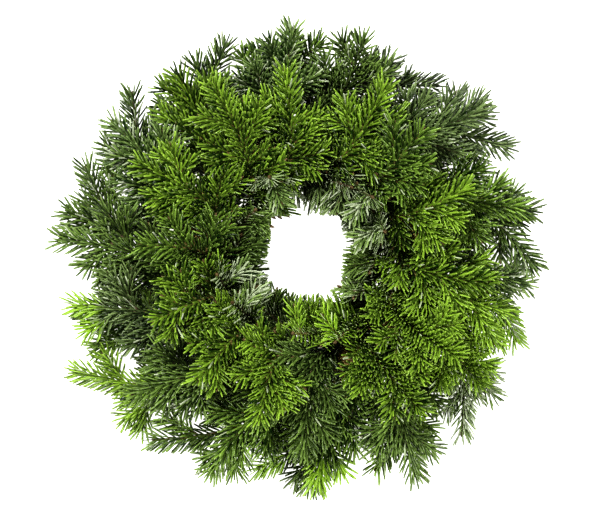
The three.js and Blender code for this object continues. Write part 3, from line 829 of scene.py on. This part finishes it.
# Stops of (place, number) across a needle, whose top is 0 to 0.5 in the map and underside 0.5 to 1.
GROOVE = ((0.2, 0.0), (0.25, 1.0), (0.3, 0.0))
WAX_BANDS = (
    (0.52, 0.0), (0.57, 1.0), (0.69, 1.0), (0.73, 0.0), (0.77, 0.0), (0.81, 1.0), (0.93, 1.0),
    (0.98, 0.0),
)
UNDERSIDE = 0.5
PALE_ENDS = ((0.0, 0.75), (0.16, 0.1), (0.8, 0.0), (1.0, 0.3))  # stops along it, from its root
YOUNG_SHADES = ((0.05, 0.0), (0.68, 1.0))  # stops by its shade, then by its tint and its flecks
FRESH_SHADES = ((0.78, 0.0), (0.9, 1.0))
WAX_FLECKS = ((0.3, 0.65), (0.6, 1.0))
FLECKS = (5.0, 14.0, 97.0)  # across a needle, along it, and from one tint to the next
FLECK_SHADE = 0.5
# How far the groove on top is darkened towards the old green: painted shade in the furrow.
GROOVE_PAINTED_SHADE = 0.45
ROUGHER, GLOSSIER = 0.1, 0.08  # how far flecks change the roughness
WAX_ROUGHNESS = 0.62
FLECK_HEIGHT = 0.25


def needle_material(name, old, young, pale, gloss):
    """Needles: a green top with a groove darkened by painted shade, paler at its root, and two waxy bands
    below.
    """
    nodes = Nodes(name)
    place = nodes.new("SeparateXYZ")
    nodes.link(nodes.new("UVMap", uv_map="Needle").outputs[0], place.inputs[0])
    x, y = place.outputs[0], place.outputs[1]
    tint = nodes.new("Attribute", attribute_name="Tint").outputs["Fac"]
    flecks_at = nodes.new("CombineXYZ")
    for value, scale, socket in zip((x, y, tint), FLECKS, flecks_at.inputs):
        nodes.link(nodes.math("MULTIPLY", value, scale), socket)
    flecks = nodes.noise(flecks_at.outputs[0], 1.0)
    fleck_shade = nodes.math("MULTIPLY", nodes.math("SUBTRACT", flecks, 0.5), FLECK_SHADE)
    shade = nodes.math("ADD", tint, fleck_shade)
    top = nodes.mix(nodes.ramp(shade, *YOUNG_SHADES), old, young)
    top = nodes.mix(nodes.ramp(tint, *FRESH_SHADES), top, FRESH)
    top = nodes.mix(nodes.ramp(y, *PALE_ENDS), top, pale)
    # Painted shade: the groove is darkened as well as pressed in by the bump.
    groove = nodes.ramp(x, *GROOVE)
    top = nodes.mix(nodes.math("MULTIPLY", groove, GROOVE_PAINTED_SHADE), top, old)
    wax = nodes.math("MULTIPLY", nodes.ramp(x, *WAX_BANDS), nodes.ramp(flecks, *WAX_FLECKS))
    below = nodes.mix(wax, nodes.mix(shade, old, young), SILVER)
    is_below = nodes.math("GREATER_THAN", x, UNDERSIDE)
    sheen = nodes.blend(flecks, gloss - GLOSSIER, gloss + ROUGHER)
    nodes.surface(nodes.mix(is_below, top, below), nodes.blend(is_below, sheen, WAX_ROUGHNESS))
    height = nodes.math("SUBTRACT", nodes.math("MULTIPLY", flecks, FLECK_HEIGHT), groove)
    nodes.bump(height, 0.5, 0.0002)
    return nodes.material


# Noise and cells on twigs, straw and wire, in cells a metre.
BARK_PATCHES, BARK_GRAIN, BARK_SCARS = 90.0, 700.0, 620.0
BUD_SCALES, BUD_BLOTCHES = 900.0, 400.0
CUT_GRAIN = 1500.0
STRAW_STAINS, STRAW_GRAIN = 60.0, 900.0
WIRE_WEAR, WIRE_GRAIN = 160.0, 1200.0
SCAR_SHADE = 0.5
STALK_SHADE = 0.6  # how much of straw's shade is its stalk's own; the grain makes the rest


def bark_material(name, dark, light):
    """Twig bark: brown, ringed with the scars of old needles."""
    nodes = Nodes(name)
    at = nodes.new("TexCoord").outputs["Object"]
    broad = nodes.noise(at, BARK_PATCHES)
    fine = nodes.noise(at, BARK_GRAIN, 5.0)
    shade = nodes.math("ADD", nodes.math("MULTIPLY", broad, 0.5), nodes.math("MULTIPLY", fine, 0.5))
    base = nodes.mix(nodes.ramp(shade, (0.35, 0.0), (0.65, 1.0)), dark, light)
    rim = nodes.ramp(nodes.cells(at, BARK_SCARS), (0.1, 1.0), (0.35, 0.0))
    scarred = nodes.mix(nodes.math("MULTIPLY", rim, SCAR_SHADE), base, dark)
    nodes.surface(scarred, nodes.blend(fine, 0.65, 0.9))
    nodes.bump(nodes.math("ADD", fine, rim), 0.6, 0.0004)
    return nodes.material


def bud_material():
    """Buds: red-brown scales under a film of resin."""
    nodes = Nodes("bud")
    at = nodes.new("TexCoord").outputs["Object"]
    scales = nodes.cells(at, BUD_SCALES, "DISTANCE_TO_EDGE")
    edge = nodes.ramp(scales, (0.0, 0.0), (0.2, 1.0))
    base = nodes.mix(nodes.noise(at, BUD_BLOTCHES), colour(92, 76, 44), colour(150, 126, 84))
    nodes.surface(nodes.mix(edge, colour(64, 46, 30), base), nodes.blend(edge, 0.7, 0.38))
    nodes.bump(edge, 0.6, 0.0004)
    return nodes.material


def cut_wood_material():
    """A fresh cut: pale wood with fine rings."""
    nodes = Nodes("cut_wood")
    at = nodes.new("TexCoord").outputs["Object"]
    grain = nodes.noise(at, CUT_GRAIN, 4.0)
    base = nodes.mix(grain, colour(196, 160, 108), colour(228, 204, 160))
    nodes.surface(base, nodes.blend(grain, 0.7, 0.9))
    return nodes.material


def straw_material():
    """Dry straw: golden stalks with a dull sheen and darker stains."""
    nodes = Nodes("straw")
    at = nodes.new("TexCoord").outputs["Object"]
    tint = nodes.new("Attribute", attribute_name="Tint").outputs["Fac"]
    fine = nodes.noise(at, STRAW_GRAIN, 5.0)
    broad = nodes.noise(at, STRAW_STAINS)
    stalk = nodes.math("MULTIPLY", tint, STALK_SHADE)
    shade = nodes.math("ADD", stalk, nodes.math("MULTIPLY", fine, 1 - STALK_SHADE))
    light = nodes.ramp(shade, (0.2, 0.0), (0.8, 1.0))
    base = nodes.mix(light, colour(138, 108, 56), colour(222, 196, 130))
    stain = nodes.ramp(broad, (0.5, 0.0), (0.75, 0.6))
    nodes.surface(nodes.mix(stain, base, colour(104, 80, 44)), nodes.blend(fine, 0.5, 0.8))
    nodes.bump(fine, 0.4, 0.0003)
    return nodes.material


def wire_material():
    """Florist's wire: green lacquer, worn to bare steel in places."""
    nodes = Nodes("wire")
    at = nodes.new("TexCoord").outputs["Object"]
    worn = nodes.ramp(nodes.noise(at, WIRE_WEAR, 4.0), (0.6, 0.0), (0.68, 1.0))
    base = nodes.mix(worn, colour(44, 74, 46), colour(120, 120, 112))
    nodes.surface(base, nodes.blend(worn, 0.38, 0.5))
    nodes.shader.inputs["Metallic"].default_value = 0.6
    nodes.bump(nodes.noise(at, WIRE_GRAIN), 0.2, 0.0001)
    return nodes.material


# Each kind of foliage: its needles when old, when young and at their roots, and their roughness.
FOLIAGE = {
    "bright": (colour(12, 48, 0), colour(152, 187, 68), colour(194, 214, 112), 0.3),
    "green": (colour(10, 42, 0), colour(137, 168, 74), colour(180, 202, 116), 0.3),
    "dark": (colour(8, 34, 0), colour(120, 145, 74), colour(166, 186, 116), 0.32),
    "dusky": (colour(10, 36, 2), colour(127, 147, 92), colour(170, 186, 132), 0.34),
    "silver": (colour(14, 50, 2), colour(142, 167, 96), colour(190, 206, 148), 0.34),
}
YOUNG_BARKED = ("bright", "green")


def foliage_materials():
    """Each kind of foliage: its needles, its bark, its buds and its cut end."""
    bud, cut = bud_material(), cut_wood_material()
    young_bark = bark_material("bark_young", colour(86, 66, 38), colour(140, 122, 74))
    old_bark = bark_material("bark_old", colour(62, 48, 36), colour(124, 104, 82))
    made = {}
    for name, (old, young, pale, gloss) in FOLIAGE.items():
        needles = needle_material(f"fir_{name}", old, young, pale, gloss)
        bark = young_bark if name in YOUNG_BARKED else old_bark
        made[name] = (needles, bark, bud, cut)
    return made


# ---- straw ring and wire ----

ONLY_LOOK = 0
STRAWS = 260
STRAW_RADIUS = 1.5
STRAW_SIDES = 6
STRAW_POINTS = 22
STRAW_ARC = (50.0, 120.0)  # degrees of the ring that a stalk runs round
STRAW_NOISE = 4  # degrees of the section that it is off its even place
STRAW_SLANT = 16  # degrees of the section that it crosses on its way
STRAW_WAVE, STRAW_WAVES = 3, 7  # how far it winds, and how often
STRAW_DEPTHS = (0.1, 1.4)
STRAW_SIZES = (0.7, 1.0)
STRAW_TAPER, STRAW_END = 40, 0.05  # how fast its ends close, and to what
STRAW_TINTS = (0.2, 1.0)
STRAW_SEED = 7
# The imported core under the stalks.
CORE_RINGS, CORE_SIDES = 120, 24
CORE_DEPTH = 2.4
CORE_TINT = 0.2
CORE_BAND = 0.1  # its share of the bake map
STALK_EDGE = 0.1  # how far a stalk's strip there stays off its neighbours


def ring_point(clock, section, depth):
    """A point of the straw's section, flat where it lies, at a depth below its skin."""
    point = straw_point(clock, section, -depth)
    point[2] = max(point[2], depth)
    return point


def add_core(skin):
    """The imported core, as one closed ring."""
    core = [ring_point(360.0 * i / CORE_RINGS, 360.0 * j / CORE_SIDES, CORE_DEPTH)
            for i in range(CORE_RINGS) for j in range(CORE_SIDES)]
    faces, places = tube_faces(CORE_RINGS, CORE_SIDES, closed=True)
    bake = places.copy()
    bake[..., 1] *= CORE_BAND
    first = skin.add_points(np.array(core))
    skin.add_faces(first + faces[:, ::-1], ONLY_LOOK, places[:, ::-1], bake[:, ::-1], CORE_TINT)


def add_stalk(skin, stalk, random):
    """One stalk, which winds a little on its way round the ring."""
    arc = random.uniform(*STRAW_ARC)
    start = random.uniform(0, 360)
    section = 360.0 * stalk / STRAWS + random.uniform(-STRAW_NOISE, STRAW_NOISE)
    slant = random.uniform(-STRAW_SLANT, STRAW_SLANT)
    depth = STRAW_RADIUS + random.uniform(*STRAW_DEPTHS)
    shares = np.linspace(0, 1, STRAW_POINTS)
    line = Curve(np.array([
        ring_point(start + arc * share,
                   section + slant * share + STRAW_WAVE * math.sin(STRAW_WAVES * share + stalk), depth)
        for share in shares]))
    taper = np.clip(np.minimum(shares, 1 - shares) * STRAW_TAPER, STRAW_END, 1)
    radii = STRAW_RADIUS * random.uniform(*STRAW_SIZES) * taper
    points = tube(line, shares * line.length, radii, STRAW_SIDES, unit(np.array([0.1, 0.2, 1.0])))
    faces, places = tube_faces(STRAW_POINTS, STRAW_SIDES)
    bake = places.copy()
    across = stalk + STALK_EDGE + (1 - 2 * STALK_EDGE) * places[..., 1]
    bake[..., 1] = CORE_BAND + (1 - CORE_BAND) * across / STRAWS
    first = skin.add_points(points)
    skin.add_faces(first + faces, ONLY_LOOK, places, bake, random.uniform(*STRAW_TINTS))


def build_straw(material):
    """A ring of packed straw: a core and many stalks that run round it."""
    random = np.random.default_rng(STRAW_SEED)
    skin = Skin()
    add_core(skin)
    for stalk in range(STRAWS):
        add_stalk(skin, stalk, random)
    piece = skin.piece("straw_bundle", [material])
    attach(piece, "root")
    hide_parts("straw_ring")


WIRE_RADIUS = 0.6
WIRE_SIDES = 8
WIRE_STEPS = 5  # steps from one corner of the wire's path to the next


def wire_corners():
    """The corners of the solid model's wire, one turn after another."""
    corners = []
    for turn in range(TURNS):
        for j in range(RING_SIDES):
            section = 360.0 / RING_SIDES * j
            under = j in FLAT_CORNERS
            point = straw_point(wire_clock(turn, section), section, 0.0 if under else WIRE_OVER_STEMS)
            point[2] += WIRE_UNDER if under else 0.0
            corners.append(point)
    return corners


def rounded(corners):
    """A closed line through corners, rounded as a spline, and never below the wire's rest."""
    line = []
    for i in range(len(corners)):
        a, b, c, d = (corners[(i + k) % len(corners)] for k in (-1, 0, 1, 2))
        for step in range(WIRE_STEPS):
            t = step / WIRE_STEPS
            line.append(0.5 * (2 * b + (c - a) * t + (2 * a - 5 * b + 4 * c - d) * t**2
                               + (3 * b - a - 3 * c + d) * t**3))
    line = np.array(line)
    line[:, 2] = np.maximum(line[:, 2], WIRE_UNDER)
    return line


def build_wire(material):
    """One round wire along the smoothed path of the solid model's wire."""
    line = rounded(wire_corners())
    path = Curve(np.concatenate([line, line[:1]]))
    along = path.marks[:-1]
    skin = Skin()
    points = tube(path, along, np.full(len(along), WIRE_RADIUS), WIRE_SIDES, np.array([1.0, 0.1, 0.2]))
    faces, places = tube_faces(len(along), WIRE_SIDES, closed=True)
    first = skin.add_points(points)
    skin.add_faces(first + faces, ONLY_LOOK, places, places, MIDDLE_TINT)
    piece = skin.piece("florist_wire", [material])
    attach(piece, "root")
    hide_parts("binding_wire")


# ---- stage ----

PHOTO_WIDTH = 600  # pixels, each about a millimetre at the height of the tips
HOLE_PIXEL = 305  # column of the middle of the hole
SHARP_HEIGHT = 0.04  # metres above the floor, where the photo's width is measured
CAMERA_HEIGHT = 2.6
CAMERA_SENSOR = 36.0
CAMERA_REACH = 20.0
FLOOR_SIZE = 6.0
FLOOR_COLOUR = (0.6, 0.6, 0.6, 1.0)
FLOOR_ROUGHNESS = 0.9
FLOOR_GLOW = 0.8  # so that it shows as white as the photo's ground
# Each lamp's place and size in metres and its power in watts.
KEY = ((-0.8, 0.9, 1.6), 0.35, 45.0)
FILL = ((1.1, -0.9, 1.4), 0.35, 27.0)
ROOM_LIGHT = 0.05
WHITE = (1.0, 1.0, 1.0, 1.0)


def build_floor():
    """A plain pale floor, just under the wreath."""
    mesh = bpy.data.meshes.new("floor")
    half = FLOOR_SIZE / 2
    corners = [(-half, -half, 0), (half, -half, 0), (half, half, 0), (-half, half, 0)]
    mesh.from_pydata(corners, [], [(0, 1, 2, 3)])
    nodes = Nodes("floor")
    nodes.shader.inputs["Base Color"].default_value = FLOOR_COLOUR
    nodes.shader.inputs["Roughness"].default_value = FLOOR_ROUGHNESS
    nodes.shader.inputs["Emission Color"].default_value = WHITE
    nodes.shader.inputs["Emission Strength"].default_value = FLOOR_GLOW
    mesh.materials.append(nodes.material)
    floor = put_in_scene("floor", mesh)


def build_camera():
    """Straight above the wreath, with the photo's frame."""
    camera = bpy.data.cameras.new("camera")
    camera.sensor_width = CAMERA_SENSOR
    camera.lens = CAMERA_SENSOR * (CAMERA_HEIGHT - SHARP_HEIGHT) / (PHOTO_WIDTH * MM)
    camera.clip_end = CAMERA_REACH
    body = put_in_scene("camera", camera)
    body.location = (CENTRE[0] + (PHOTO_WIDTH / 2 - HOLE_PIXEL) * MM, CENTRE[1], CAMERA_HEIGHT)
    bpy.context.scene.camera = body


def add_light(name, place, size, power):
    """A soft square light that looks at the wreath."""
    lamp = bpy.data.lights.new(name, "AREA")
    lamp.size = size
    lamp.energy = power
    body = put_in_scene(name, lamp)
    body.location = place
    way = -np.array(place)
    yaw = math.atan2(way[1], way[0])
    pitch = math.atan2(math.hypot(way[0], way[1]), -way[2])
    body.rotation_euler = (pitch, 0.0, yaw - math.pi / 2)


def build_light():
    """Soft studio light from above, a little stronger from the upper left."""
    add_light("key", *KEY)
    add_light("fill", *FILL)
    world = bpy.data.worlds.new("studio")
    world.use_nodes = True
    background = world.node_tree.nodes["Background"]
    background.inputs["Color"].default_value = WHITE
    background.inputs["Strength"].default_value = ROOM_LIGHT
    bpy.context.scene.world = world
    view = bpy.context.scene.view_settings
    view.view_transform = "Standard"
    view.look = "High Contrast"


# ---- the wreath ----

build_camera()
build_floor()
build_light()
build_straw(straw_material())
build_wire(wire_material())
foliage = foliage_materials()
sprig_number = 0
for row_name, tips in PLAN.items():
    for turn_number, tip_place in enumerate(tips):
        grow_sprig(sprig_number, row_name, turn_number, tip_place, foliage[tip_place[3]])
        sprig_number += 1
